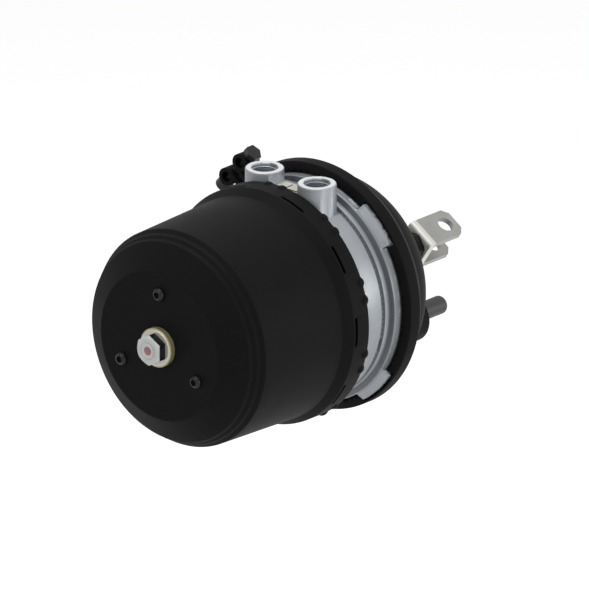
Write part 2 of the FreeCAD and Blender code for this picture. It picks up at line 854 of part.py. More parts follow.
def mounting_studs():
    """The two headed studs, their wider necks pressed into the bracket pads."""
    head = -bowl_wall
    stud = turned([
        (head - stud_head_height, 0), (head - stud_head_height, stud_head_radius, plain_edge),
        (head, stud_head_radius),
        (head, stud_radius + stud_neck), (0, stud_radius + stud_neck),
        (0, stud_radius), (stud_length, stud_radius, stud_round), (stud_length, 0),
    ])
    studs = []
    for side in (1, -1):
        copy = stud.copy()
        copy.translate(stud_centre(0, side))
        studs.append(copy)
    return Part.makeCompound(studs)


def rod_boot():
    """The rubber guide ring that closes the bowl round the push rod."""
    outside = bowl_bottom
    inside = bowl_bottom - bowl_wall
    hole = rod_radius + slide_gap
    return turned([
        (outside + boot_lip, hole), (outside + boot_lip, hole + boot_collar, plain_edge),
        (outside, bowl_hole + boot_overlap), (outside, bowl_hole - fit_gap),
        (inside, bowl_hole - fit_gap), (inside, boot_flange_radius),
        (inside - boot_flange_thickness, boot_flange_radius, plain_edge), (inside - boot_flange_thickness, hole),
    ])


def return_spring():
    """The light conical spring that draws the push rod back."""
    head = push_plate_front + push_plate_thickness + slide_gap
    foot = bowl_bottom - bowl_wall - slide_gap
    return coil(return_wire, return_turns, head, return_head_radius, foot, return_foot_radius)


def push_plate():
    """The pressed plate that the service diaphragm pushes on."""
    front = push_plate_front
    rear = front + push_plate_thickness
    hole = rod_radius + fit_gap
    return turned([
        (front, hole), (front, push_plate_radius, push_plate_round),
        (rear + push_plate_lip, push_plate_radius, plain_edge),
        (rear + push_plate_lip, push_plate_radius - push_plate_thickness, plain_edge),
        (rear, push_plate_radius - push_plate_thickness, plain_edge), (rear, hole),
    ])


def push_rod():
    """The threaded rod and the hub that seats it on the push plate."""
    front = push_plate_front
    hub = front + push_plate_thickness
    return turned([
        (front, 0), (front, rod_radius), (hub, rod_radius), (hub, rod_hub_radius),
        (hub + rod_hub_length, rod_hub_radius, soft_edge), (hub + rod_hub_length, rod_radius),
        (rod_end, rod_radius, plain_edge), (rod_end, 0),
    ])


def clevis_lock_nut():
    """The hexagon nut that locks the clevis on the rod."""
    front = clevis_start - fit_gap - lock_nut_length
    rear = clevis_start - fit_gap
    corner = lock_nut_flats / 2 / math.cos(math.pi / 6)
    hole = rod_radius + fit_gap
    slope = nut_chamfer / 2
    bevel = turned([
        (front, hole), (front, corner - nut_chamfer), (front + slope, corner + fit_gap),
        (rear - slope, corner + fit_gap), (rear, corner - nut_chamfer), (rear, hole),
    ])
    return hexagon(lock_nut_flats, front, rear).common(bevel)


def clevis():
    """The bent steel clevis: a web on the rod and two ears with the pin hole."""
    half = clevis_spread / 2
    side = [
        (clevis_start, -half, clevis_bend), (clevis_end, -half), (clevis_end, -half + clevis_ear),
        (clevis_start + clevis_web, -half + clevis_ear, clevis_bend / 2),
        (clevis_start + clevis_web, half - clevis_ear, clevis_bend / 2),
        (clevis_end, half - clevis_ear), (clevis_end, half), (clevis_start, half, clevis_bend),
    ]
    strap = Part.Face(outline(side)).extrude(Vector(0, 0, clevis_width))
    strap.translate(Vector(0, 0, -clevis_width / 2))
    edge = clevis_width / 2
    ears = Part.Face(outline([
        (clevis_start - overrun, -edge), (clevis_end - clevis_corner, -edge), (clevis_end, clevis_corner - edge),
        (clevis_end, edge - clevis_corner), (clevis_end - clevis_corner, edge), (clevis_start - overrun, edge),
    ])).extrude(Vector(0, 0, 2 * clevis_spread))
    ears.translate(Vector(0, 0, -clevis_spread))
    ears.rotate(ORIGIN, AXIS, 90)
    reach = Vector(0, 1, 0) * clevis_spread
    hole = Part.makeCylinder(clevis_hole_radius, 2 * clevis_spread, Vector(clevis_hole_x, 0, 0) - reach,
                             Vector(0, 1, 0))
    bore = pin(rod_radius + fit_gap, clevis_start - overrun, clevis_start + 2 * clevis_web)
    piece = strap.common(ears).cut([hole, bore])
    piece.rotate(ORIGIN, AXIS, 90 + clevis_roll)
    return piece


NODES = {
    "spring_housing": spring_housing,
    "end_screws": end_screws,
    "bearing_plate": bearing_plate,
    "thrust_washer": thrust_washer,
    "release_bolt": release_bolt,
    "release_indicator": release_indicator,
    "release_nut": release_nut,
    "power_spring": power_spring,
    "spring_plate": spring_plate,
    "plate_nut": plate_nut,
    "spring_diaphragm": spring_diaphragm,
    "push_tube": push_tube,
    "tube_foot": tube_foot,
    "flange_body": flange_body,
    "type_plate": type_plate,
    "bulkhead_bush": bulkhead_bush,
    "bulkhead_seal": bulkhead_seal,
    "service_diaphragm": service_diaphragm,
    "clamp_ring": clamp_ring,
    "clamp_bolt": clamp_bolt,
    "clamp_nut": clamp_nut,
    "rear_housing": rear_housing,
    "mounting_studs": mounting_studs,
    "rod_boot": rod_boot,
    "return_spring": return_spring,
    "push_plate": push_plate,
    "push_rod": push_rod,
    "clevis_lock_nut": clevis_lock_nut,
    "clevis": clevis,
}

os.makedirs("parts", exist_ok=True)
for name, make in NODES.items():
    shape = make()
    shape.exportStep("parts/" + name + ".step")
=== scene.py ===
import math

import bpy
from mathutils import Matrix, Vector


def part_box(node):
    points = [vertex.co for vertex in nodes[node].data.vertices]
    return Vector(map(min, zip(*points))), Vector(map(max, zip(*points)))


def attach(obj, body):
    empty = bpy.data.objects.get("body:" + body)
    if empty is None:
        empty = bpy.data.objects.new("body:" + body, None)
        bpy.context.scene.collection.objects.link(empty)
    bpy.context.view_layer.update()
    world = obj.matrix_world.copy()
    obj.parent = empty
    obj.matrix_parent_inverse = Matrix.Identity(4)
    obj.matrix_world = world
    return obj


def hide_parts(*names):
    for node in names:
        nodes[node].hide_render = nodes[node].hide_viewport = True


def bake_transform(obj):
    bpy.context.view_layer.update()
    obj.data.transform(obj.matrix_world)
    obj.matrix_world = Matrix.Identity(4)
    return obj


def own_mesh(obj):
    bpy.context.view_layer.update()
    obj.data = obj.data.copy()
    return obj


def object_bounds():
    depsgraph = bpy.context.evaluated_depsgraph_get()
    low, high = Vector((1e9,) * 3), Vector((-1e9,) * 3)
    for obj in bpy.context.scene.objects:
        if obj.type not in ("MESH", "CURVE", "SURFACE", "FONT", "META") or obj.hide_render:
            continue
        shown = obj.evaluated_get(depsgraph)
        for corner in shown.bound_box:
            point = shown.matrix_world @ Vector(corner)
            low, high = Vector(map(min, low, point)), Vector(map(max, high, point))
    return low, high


# The actuator itself: a service chamber and a spring chamber joined by a cast aluminium flange.
# Its axis is X, with the release bolt at the low end and the clevis at the high end.
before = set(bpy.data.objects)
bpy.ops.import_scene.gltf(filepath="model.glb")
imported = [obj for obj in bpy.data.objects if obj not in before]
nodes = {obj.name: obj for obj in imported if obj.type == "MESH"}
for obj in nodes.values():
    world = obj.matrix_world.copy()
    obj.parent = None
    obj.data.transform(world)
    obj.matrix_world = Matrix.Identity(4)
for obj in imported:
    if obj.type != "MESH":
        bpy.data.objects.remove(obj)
cad_low, cad_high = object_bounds()
mm = 0.001


# The view: a camera without perspective, a little above the object, with the release bolt towards it.
# It aims above and to the right of the bolt's head, so the head stands low at the left of the picture.
view_right = Vector((0.6566, -0.7542, 0.0))
view_back = Vector((-0.7078, -0.6162, 0.3453))
view_up = view_back.cross(view_right)
aim_right = 124.8 * mm
aim_up = 48.05 * mm
picture_width = 0.500
camera_distance = 2.5
bolt_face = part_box("release_bolt")[0].x
aim = Vector((bolt_face, 0, 0)) + view_right * aim_right + view_up * aim_up

camera_data = bpy.data.cameras.new("camera")
camera_data.type = "ORTHO"
camera_data.ortho_scale = picture_width
camera_data.clip_end = 4 * camera_distance
camera = bpy.data.objects.new("camera", camera_data)
turn = Matrix((view_right, view_up, view_back)).transposed()
camera.matrix_world = Matrix.Translation(aim + view_back * camera_distance) @ turn.to_4x4()
bpy.context.scene.collection.objects.link(camera)
bpy.context.scene.camera = camera
bpy.context.scene.view_settings.view_transform = "Standard"


# The studio: a white room seen by the camera and in reflections, with a dimmer light of its own,
# a big lamp overhead, a weak one at the left and two at the right, over a pale floor.
def seen_light(tree, dim, bright):
    """A strength that is bright where a camera, glossy or see-through ray looks, and dim elsewhere."""
    path = tree.nodes.new("ShaderNodeLightPath")
    strength = tree.nodes.new("ShaderNodeMix")
    strength.inputs["A"].default_value = dim
    strength.inputs["B"].default_value = bright
    last = path.outputs["Is Camera Ray"]
    for ray in ("Is Glossy Ray", "Is Transmission Ray"):
        either = tree.nodes.new("ShaderNodeMath")
        either.operation = "MAXIMUM"
        tree.links.new(last, either.inputs[0])
        tree.links.new(path.outputs[ray], either.inputs[1])
        last = either.outputs[0]
    tree.links.new(last, strength.inputs["Factor"])
    return strength.outputs["Result"]


world = bpy.data.worlds.new("room")
bpy.context.scene.world = world
world.use_nodes = True
room = world.node_tree
room_light = seen_light(room, dim=0.30, bright=1.0)
room.links.new(room_light, room.nodes["Background"].inputs["Strength"])
room.nodes["Background"].inputs["Color"].default_value = (1, 1, 1, 1)


def add_lamp(name, place, size, power):
    """A soft square lamp that looks at the middle of the object."""
    data = bpy.data.lights.new(name, "AREA")
    data.shape = "SQUARE"
    data.size = size
    data.energy = power
    lamp = bpy.data.objects.new(name, data)
    middle = (cad_low + cad_high) / 2
    lamp.location = Vector(place)
    lamp.rotation_euler = (middle - lamp.location).to_track_quat("-Z", "Y").to_euler()
    bpy.context.scene.collection.objects.link(lamp)


add_lamp("lamp_top", place=(-0.1, 0.1, 1.5), size=1.0, power=10.0)
add_lamp("lamp_left", place=(-1.5, 0.2, 0.8), size=0.7, power=3.0)
add_lamp("lamp_front", place=(-0.3, -1.5, 0.1), size=0.5, power=4.0)
add_lamp("lamp_right", place=(1.1, -1.1, 0.1), size=0.7, power=5.0)

floor_size = 12
floor_drop = 0.33
bpy.ops.object.select_all(action="DESELECT")
bpy.ops.mesh.primitive_plane_add(size=floor_size, location=(0, 0, cad_low.z - floor_drop))
floor = bpy.context.object
floor.name = "floor"
floor_finish = bpy.data.materials.new("floor")
floor_finish.use_nodes = True
floor_tree = floor_finish.node_tree
floor_shader = floor_tree.nodes["Principled BSDF"]
floor_shader.inputs["Base Color"].default_value = (0.9, 0.9, 0.9, 1)
floor_shader.inputs["Roughness"].default_value = 1.0
floor_shader.inputs["Specular IOR Level"].default_value = 0.0
floor_shader.inputs["Emission Color"].default_value = (1, 1, 1, 1)
floor_light = seen_light(floor_tree, dim=0.0, bright=0.62)
floor_tree.links.new(floor_light, floor_shader.inputs["Emission Strength"])
floor.data.materials.append(floor_finish)


# Spring housing: a deep-drawn steel can with a stepped nose, slotted and crimped over the flange.
# It is sprayed satin black, with a slight orange peel and a little dust in patches.
def new_group(name, inputs, outputs):
    """A node group with named sockets, its input node and its output node."""
    group = bpy.data.node_groups.new(name, "ShaderNodeTree")
    kinds = {"value": "NodeSocketFloat", "vector": "NodeSocketVector", "colour": "NodeSocketColor"}
    for label, kind in inputs:
        group.interface.new_socket(label, in_out="INPUT", socket_type=kinds[kind])
    for label, kind in outputs:
        group.interface.new_socket(label, in_out="OUTPUT", socket_type=kinds[kind])
    return group, group.nodes.new("NodeGroupInput"), group.nodes.new("NodeGroupOutput")


def feed(tree, pin, given):
    """A socket, a colour or a plain number goes into an input."""
    if isinstance(given, bpy.types.NodeSocket):
        tree.links.new(given, pin)
    elif isinstance(given, tuple):
        pin.default_value = (*given, 1)
    else:
        pin.default_value = given


def add_math(tree, operation, first, second, third=None):
    """A maths node fed by sockets or plain numbers."""
    node = tree.nodes.new("ShaderNodeMath")
    node.operation = operation
    for pin, given in zip(node.inputs, (first, second, third)):
        if given is not None:
            feed(tree, pin, given)
    return node.outputs[0]


def add_noise(tree, place, scale, detail):
    """A noise texture over a place."""
    node = tree.nodes.new("ShaderNodeTexNoise")
    feed(tree, node.inputs["Vector"], place)
    feed(tree, node.inputs["Scale"], scale)
    feed(tree, node.inputs["Detail"], detail)
    return node.outputs["Fac"]


def add_blend(tree, factor, first, second, kind="FLOAT"):
    """A mix of two values, or of two colours where the kind is RGBA, by a factor."""
    node = tree.nodes.new("ShaderNodeMix")
    node.data_type = kind
    pins = [pin for pin in node.inputs if pin.enabled]
    for pin, given in zip(pins, (factor, first, second)):
        feed(tree, pin, given)
    return [pin for pin in node.outputs if pin.enabled][0]


def grain_group():
    """Slow patches of colour and wear, with fine grain: what paint, castings and plating share."""
    fine_share = 0.35
    clean_below = 0.45
    worn_above = 0.95
    group, given, out = new_group("grain", [
        ("Place", "vector"), ("Colour", "colour"), ("Worn Colour", "colour"), ("Patch Scale", "value"),
        ("Grain Scale", "value"), ("Smoothest", "value"), ("Roughest", "value"),
    ], [("Colour", "colour"), ("Roughness", "value"), ("Height", "value")])
    ask = given.outputs
    patch = add_noise(group, ask["Place"], ask["Patch Scale"], detail=4)
    fine = add_noise(group, ask["Place"], ask["Grain Scale"], detail=2)
    both = add_math(group, "MULTIPLY_ADD", fine, fine_share, patch)
    spread = group.nodes.new("ShaderNodeMapRange")
    spread.inputs["From Min"].default_value = clean_below
    spread.inputs["From Max"].default_value = worn_above
    group.links.new(both, spread.inputs["Value"])
    worn = spread.outputs["Result"]
    colour = add_blend(group, worn, ask["Colour"], ask["Worn Colour"], "RGBA")
    roughness = add_blend(group, worn, ask["Smoothest"], ask["Roughest"])
    group.links.new(colour, out.inputs["Colour"])
    group.links.new(roughness, out.inputs["Roughness"])
    group.links.new(fine, out.inputs["Height"])
    return group


grain = grain_group()
relief_strength = 0.6


def finish(name, colour, worn, metal, smoothest, roughest, patch, fine, relief, specular=0.5):
    """A material whose colour, gloss and fine relief come from the shared grain."""
    material = bpy.data.materials.new(name)
    material.use_nodes = True
    tree = material.node_tree
    shader = tree.nodes["Principled BSDF"]
    place = tree.nodes.new("ShaderNodeTexCoord")
    place.name = "place"
    surface = tree.nodes.new("ShaderNodeGroup")
    surface.name = "grain"
    surface.node_tree = grain
    surface.inputs["Colour"].default_value = (*colour, 1)
    surface.inputs["Worn Colour"].default_value = (*worn, 1)
    surface.inputs["Patch Scale"].default_value = patch
    surface.inputs["Grain Scale"].default_value = fine
    surface.inputs["Smoothest"].default_value = smoothest
    surface.inputs["Roughest"].default_value = roughest
    bump = tree.nodes.new("ShaderNodeBump")
    bump.name = "relief"
    bump.inputs["Strength"].default_value = relief_strength
    bump.inputs["Distance"].default_value = relief
    tree.links.new(place.outputs["Object"], surface.inputs["Place"])
    tree.links.new(surface.outputs["Colour"], shader.inputs["Base Color"])
    tree.links.new(surface.outputs["Roughness"], shader.inputs["Roughness"])
    tree.links.new(surface.outputs["Height"], bump.inputs["Height"])
    tree.links.new(bump.outputs["Normal"], shader.inputs["Normal"])
    shader.inputs["Metallic"].default_value = metal
    shader.inputs["Specular IOR Level"].default_value = specular
    return material


def wear(piece, material):
    """The piece shows this one material."""
    piece.data.materials.clear()
    piece.data.materials.append(material)


def pick(piece):
    """Only this piece is selected and active."""
    bpy.ops.object.select_all(action="DESELECT")
    bpy.context.view_layer.objects.active = piece
    piece.select_set(True)


same_place = 1e-6


def merged_copy(node, name):
    """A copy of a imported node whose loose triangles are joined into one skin."""
    piece = nodes[node].copy()
    piece.data = nodes[node].data.copy()
    piece.name = name
    piece.data.name = name
    piece.parent = None
    bpy.context.scene.collection.objects.link(piece)
    pick(piece)
    bpy.ops.object.mode_set(mode="EDIT")
    bpy.ops.mesh.select_all(action="SELECT")
    bpy.ops.mesh.remove_doubles(threshold=same_place)
    bpy.ops.object.mode_set(mode="OBJECT")
    return piece


def smooth(piece, angle):
    """The piece shades smoothly across its curves and keeps its sharp edges."""
    pick(piece)
    bpy.ops.object.shade_smooth_by_angle(angle=math.radians(angle))
    bpy.ops.object.modifier_add(type="WEIGHTED_NORMAL")
    piece.modifiers[-1].keep_sharp = True
    bpy.ops.object.modifier_apply(modifier=piece.modifiers[-1].name)


def smooth_copy(node, name, angle):
    """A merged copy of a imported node, smoothly shaded."""
    piece = merged_copy(node, name)
    smooth(piece, angle)
    return piece


def fit(piece, node, body, material):
    """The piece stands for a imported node, moves with its body and wears the material."""
    wear(piece, material)
    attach(piece, body)
    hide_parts(node)


housing_paint = finish("housing_paint", colour=(0.0050, 0.0050, 0.0053), worn=(0.0080, 0.0080, 0.0083),
                       metal=0.0, smoothest=0.56, roughest=0.68, patch=14, fine=900, relief=0.00003,
                       specular=0.065)
can = smooth_copy("spring_housing", "spring_can", angle=32)
fit(can, "spring_housing", "housing", housing_paint)


# Diaphragms: two moulded rubber sheets with thick beads, one in each chamber. The bead of the spring
# side shows through the slots of the crimp, and the other is clamped between flange and bowl.
# Both, and the lip seal in the flange, are dull black rubber with a trace of talc.
rubber = finish("rubber", colour=(0.008, 0.008, 0.008), worn=(0.016, 0.0155, 0.015), metal=0.0,
                smoothest=0.75, roughest=0.9, patch=30, fine=1500, relief=0.00002, specular=0.2)
wear(nodes["bulkhead_seal"], rubber)


def stretched(piece, node, material):
    """A piece that wears the material in place of an imported node, with its place baked into its
    mesh.
    """
    wear(piece, material)
    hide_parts(node)
    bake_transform(piece)


sheet_angle = 35
plate_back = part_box("spring_plate")[1].x
spring_sheet = merged_copy("spring_diaphragm", "spring_side_diaphragm")
fold_inner = 78.0 * mm
fold_shift = -6.5 * mm
for vertex in spring_sheet.data.vertices:
    reach = math.hypot(vertex.co.y, vertex.co.z)
    if vertex.co.x < plate_back and reach > fold_inner:
        vertex.co.x += fold_shift
smooth(spring_sheet, sheet_angle)
stretched(spring_sheet, "spring_diaphragm", rubber)

joint_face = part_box("flange_body")[1].x
service_sheet = smooth_copy("service_diaphragm", "service_side_diaphragm", sheet_angle)
stretched(service_sheet, "service_diaphragm", rubber)


# End screws: three button-head socket screws that hold the bearing plate to the end of the can.
# Black oxide over a turned dome, rubbed to a shine, with painted shade in the dull socket.
def past(tree, value, edge, soft):
    """A mask that is 0 before an edge and 1 after it, over a soft width."""
    ramp = tree.nodes.new("ShaderNodeMapRange")
    ramp.interpolation_type = "SMOOTHSTEP"
    ramp.inputs["From Min"].default_value = edge - soft / 2
    ramp.inputs["From Max"].default_value = edge + soft / 2
    tree.links.new(value, ramp.inputs["Value"])
    return ramp.outputs["Result"]


def across(tree):
    """The object's own place seen along its axis, so with no X."""
    flat = tree.nodes.new("ShaderNodeVectorMath")
    flat.operation = "MULTIPLY"
    flat.inputs[1].default_value = (0, 1, 1)
    tree.links.new(tree.nodes["place"].outputs["Object"], flat.inputs[0])
    return flat.outputs[0]


def shade_by(tree, pin, source):
    """The material's shader takes this source into one of its inputs."""
    tree.links.new(source, tree.nodes["Principled BSDF"].inputs[pin])


screw_circle = 47.0 * mm
screw_angles = (90.0, 206.5, 332.0)
socket_edge = 3.0 * mm
# painted shade: the socket's inside is coloured near black, darker than the dome
socket_painted_shade = (0.0005, 0.0005, 0.0005)
socket_rough = 0.9
dome_black = (0.020, 0.020, 0.021)
dome_rough = 0.2
screw_black = finish("screw_black", colour=(0.004, 0.004, 0.0042), worn=(0.010, 0.010, 0.0105),
                     metal=0.0, smoothest=0.14, roughest=0.24, patch=60, fine=1600, relief=0.00001,
                     specular=0.22)
tree = screw_black.node_tree
end_view = across(tree)
nearest = 1.0
for angle in screw_angles:
    swing = math.radians(angle)
    away = tree.nodes.new("ShaderNodeVectorMath")
    away.operation = "DISTANCE"
    away.inputs[1].default_value = (0, -screw_circle * math.cos(swing), screw_circle * math.sin(swing))
    tree.links.new(end_view, away.inputs[0])
    nearest = add_math(tree, "MINIMUM", away.outputs["Value"], nearest)
# inside this circle round each screw lies the socket with its painted shade
on_dome = past(tree, nearest, socket_edge, soft=0.5 * mm)
shade_by(tree, "Base Color", add_blend(tree, on_dome, socket_painted_shade, dome_black, "RGBA"))
shade_by(tree, "Roughness", add_blend(tree, on_dome, socket_rough, dome_rough))
screws = smooth_copy("end_screws", "button_screws", angle=40)
fit(screws, "end_screws", "housing", screw_black)


# Inner steel: bearing plate, spring plate and its nut, push tube and foot, release nut, push plate.
# Pressed and turned steel, phosphated grey, rubbed brighter where it has been handled.
inner_steel = finish("inner_steel", colour=(0.16, 0.16, 0.165), worn=(0.24, 0.24, 0.24), metal=0.85,
                     smoothest=0.34, roughest=0.52, patch=40, fine=1300, relief=0.00002)
for part in ("bearing_plate", "spring_plate", "plate_nut", "push_tube", "tube_foot", "release_nut",
             "push_plate"):
    wear(nodes[part], inner_steel)


# Springs: the heavy power spring behind the can's end, and the light return spring in the bowl.
# Both are coiled from round spring steel wire, left dark.
wire_angle = 40
spring_steel = finish("spring_steel", colour=(0.035, 0.036, 0.038), worn=(0.07, 0.07, 0.07), metal=0.5,
                      smoothest=0.35, roughest=0.5, patch=50, fine=1200, relief=0.00002)
power_coil = smooth_copy("power_spring", "power_coil", wire_angle)
stretched(power_coil, "power_spring", spring_steel)
return_coil = smooth_copy("return_spring", "return_coil", wire_angle)
fit(return_coil, "return_spring", "housing", spring_steel)
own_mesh(return_coil)


# Bush: the sleeve in the flange's web in which the push tube slides.
# Moulded in a pale, hard plastic and pressed in.
bush_plastic = finish("bush_plastic", colour=(0.62, 0.60, 0.54), worn=(0.55, 0.53, 0.47), metal=0.0,
                      smoothest=0.45, roughest=0.6, patch=40, fine=1500, relief=0.00001)
wear(nodes["bulkhead_bush"], bush_plastic)


# Release bolt: a hexagon head whose face is bright zinc and whose flats are blackened, with a
# coloured plastic plug pressed into the middle. It turns in the end of the can.
def along(tree, axis):
    """The object's own coordinate along one axis."""
    split = tree.nodes.new("ShaderNodeSeparateXYZ")
    tree.links.new(tree.nodes["place"].outputs["Object"], split.inputs[0])
    return split.outputs[axis]


bolt_bevel = 2.0 * mm
face_metal = 0.1
flat_black = (0.006, 0.006, 0.0063)
head_zinc = finish("head_zinc", colour=(0.78, 0.80, 0.78), worn=(0.66, 0.68, 0.66), metal=face_metal,
                   smoothest=0.40, roughest=0.52, patch=90, fine=1500, relief=0.00002, specular=0.12)
tree = head_zinc.node_tree
flats = past(tree, along(tree, "X"), bolt_face + bolt_bevel, soft=0.3 * mm)
face_zinc = tree.nodes["grain"].outputs["Colour"]
shade_by(tree, "Base Color", add_blend(tree, flats, face_zinc, flat_black, "RGBA"))
shade_by(tree, "Metallic", add_blend(tree, flats, face_metal, 0.0))
bolt = smooth_copy("release_bolt", "release_spindle", angle=25)
fit(bolt, "release_bolt", "release_screw", head_zinc)

plug_red = finish("plug_red", colour=(0.45, 0.15, 0.19), worn=(0.54, 0.24, 0.28), metal=0.0,
                  smoothest=0.5, roughest=0.6, patch=120, fine=2000, relief=0.00001)
wear(nodes["release_indicator"], plug_red)


# Thrust washer: a stepped ring turned from steel, on which the bolt's head bears.
# Plated in yellow zinc that is thin and pale on the face.
lip_depth = 0.9 * mm
thin_zinc = (0.70, 0.69, 0.60)
yellow_zinc = finish("yellow_zinc", colour=(0.42, 0.38, 0.20), worn=(0.34, 0.30, 0.15), metal=0.35,
                     smoothest=0.30, roughest=0.44, patch=60, fine=1200, relief=0.00001)
tree = yellow_zinc.node_tree
washer_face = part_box("thrust_washer")[0].x
wall = past(tree, along(tree, "X"), washer_face + lip_depth, soft=0.5 * mm)
wall_zinc = tree.nodes["grain"].outputs["Colour"]
shade_by(tree, "Base Color", add_blend(tree, wall, thin_zinc, wall_zinc, "RGBA"))
washer = smooth_copy("thrust_washer", "stepped_washer", angle=32)
fit(washer, "thrust_washer", "housing", yellow_zinc)


# Flange: a die-cast aluminium body, turned on its joint faces and grooves and faced on its bosses.
# Fine cast skin with painted shade in the groove and under the rim, bright where a tool has cut it.
# The two ports are tapped M22 x 1.5: their bores are opened to the full thread and carry its ridge.
groove_start = 24.6 * mm
groove_end = 21.2 * mm
shade_start = 17.2 * mm
rim_start = 14.9 * mm
rim_radius = 99.6 * mm
lug_rise = 0.9 * mm
facing_depth = 0.15 * mm
tool_rough = 0.28
faced_bright = (0.82, 0.84, 0.85)
turned_grey = (0.29, 0.305, 0.32)
# painted shade: a darker grey laid in the groove and in the band under the rim, where shade falls
painted_shade_grey = (0.15, 0.16, 0.175)
boss_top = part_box("flange_body")[1].z
cast_aluminium = finish("cast_aluminium", colour=(0.42, 0.445, 0.475), worn=(0.33, 0.35, 0.375),
                        metal=0.35, smoothest=0.36, roughest=0.50, patch=24, fine=700, relief=0.00010)
tree = cast_aluminium.node_tree
faced = past(tree, along(tree, "Z"), boss_top - facing_depth, soft=0.1 * mm)
reach_x = along(tree, "X")
into_groove = past(tree, reach_x, joint_face - groove_start, soft=1.4 * mm)
out_of_groove = past(tree, reach_x, joint_face - groove_end, soft=1.2 * mm)
into_shade = past(tree, reach_x, joint_face - shade_start, soft=1.6 * mm)
onto_rim = past(tree, reach_x, joint_face - rim_start, soft=1.0 * mm)
# the groove and the band under the rim make the mask for the painted shade
groove_shade_mask = add_math(tree, "SUBTRACT", into_groove, out_of_groove)
in_shade = add_math(tree, "SUBTRACT", into_shade, onto_rim)
painted_shade_mask = add_math(tree, "ADD", groove_shade_mask, in_shade)
span = tree.nodes.new("ShaderNodeVectorMath")
span.operation = "LENGTH"
tree.links.new(across(tree), span.inputs[0])
on_lug = past(tree, span.outputs["Value"], rim_radius + lug_rise, soft=1.0 * mm)
on_rim = add_math(tree, "MULTIPLY", onto_rim, add_math(tree, "SUBTRACT", 1.0, on_lug))
cast_skin = tree.nodes["grain"].outputs
turned = add_blend(tree, on_rim, cast_skin["Colour"], turned_grey, "RGBA")
shaded = add_blend(tree, painted_shade_mask, turned, painted_shade_grey, "RGBA")
shade_by(tree, "Base Color", add_blend(tree, faced, shaded, faced_bright, "RGBA"))
cut = add_math(tree, "MAXIMUM", faced, on_rim)
shade_by(tree, "Roughness", add_blend(tree, cut, cast_skin["Roughness"], tool_rough))
body = merged_copy("flange_body", "cast_flange")


def widen(piece, centre, axis, was, now, low, high):
    """Turn a round wall about an axis from one radius to another, between two heights."""
    near = 0.1 * mm
    pick(piece)
    bpy.ops.object.mode_set(mode="EDIT")
    bpy.ops.mesh.select_mode(type="VERT")
    bpy.ops.mesh.select_all(action="DESELECT")
    bpy.ops.object.mode_set(mode="OBJECT")
    for vertex in piece.data.vertices:
        arm = vertex.co - centre
        rise = arm.dot(axis)
        radius = (arm - axis * rise).length
        vertex.select = low < rise < high and abs(radius - was) < near
    bpy.ops.object.mode_set(mode="EDIT")
    scale = [1 if abs(part) > 0.5 else now / was for part in axis]
    bpy.ops.transform.resize(value=scale, center_override=centre)
    bpy.ops.object.mode_set(mode="OBJECT")


touch = 0.01 * mm


def thread_ridge(name, centre, axis, root, crest, pitch, turns):
    """One helical thread ridge, wound from a four-sided profile upwards from its centre."""
    foot_share = 0.86
    crest_share = 0.22
    steps_per_turn = 36
    bpy.ops.object.select_all(action="DESELECT")
    bpy.ops.mesh.primitive_plane_add(size=1, location=((root + crest) / 2, 0, 0),
                                     rotation=(math.radians(90), 0, 0))
    ridge = bpy.context.object
    ridge.name = name
    ridge.data.name = name
    ridge.scale = (abs(root - crest), pitch * foot_share, 1)
    bpy.ops.object.transform_apply(location=True, rotation=True, scale=True)
    bpy.ops.object.mode_set(mode="EDIT")
    bpy.ops.mesh.select_mode(type="VERT")
    bpy.ops.mesh.select_all(action="DESELECT")
    bpy.ops.object.mode_set(mode="OBJECT")
    for vertex in ridge.data.vertices:
        vertex.select = abs(vertex.co.x - crest) < touch
    bpy.ops.object.mode_set(mode="EDIT")
    bpy.ops.transform.resize(value=(1, 1, crest_share), center_override=(crest, 0, 0))
    bpy.ops.object.mode_set(mode="OBJECT")
    bpy.ops.object.modifier_add(type="SCREW")
    screw = ridge.modifiers[-1]
    screw.axis = "Z"
    screw.screw_offset = pitch
    screw.iterations = turns
    screw.steps = steps_per_turn
    screw.render_steps = steps_per_turn
    screw.use_smooth_shade = False
    bpy.ops.object.modifier_apply(modifier=screw.name)
    bpy.ops.object.mode_set(mode="EDIT")
    bpy.ops.mesh.select_all(action="SELECT")
    bpy.ops.mesh.remove_doubles(threshold=same_place)
    bpy.ops.mesh.select_all(action="SELECT")
    bpy.ops.mesh.fill_holes(sides=4)
    bpy.ops.mesh.select_all(action="SELECT")
    bpy.ops.mesh.normals_make_consistent(inside=False)
    bpy.ops.object.mode_set(mode="OBJECT")
    ridge.rotation_euler = axis.to_track_quat("Z", "Y").to_euler()
    ridge.location = centre
    bpy.ops.object.transform_apply(location=True, rotation=True, scale=True)
    return ridge


port_setback = 35.4 * mm
port_aside = 29.4 * mm
minor_radius = 10.2 * mm
major_radius = 11.0 * mm
tapped_depth = 16.1 * mm
ridge_depth = 15.0 * mm
ridge_sink = 0.05 * mm
above_mouth = 0.1 * mm
pitch = 1.5 * mm
port_turns = 8
up = Vector((0, 0, 1))
for label, port_y in (("service", -port_aside), ("spring", port_aside)):
    mouth = Vector((joint_face - port_setback, port_y, boss_top))
    widen(body, mouth, up, minor_radius, major_radius, -tapped_depth, above_mouth)
    ridge = thread_ridge(label + "_port_thread", mouth - up * ridge_depth, up,
                         major_radius + ridge_sink, minor_radius, pitch, port_turns)
    wear(ridge, cast_aluminium)
    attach(ridge, "housing")
smooth(body, angle=28)
fit(body, "flange_body", "housing", cast_aluminium)
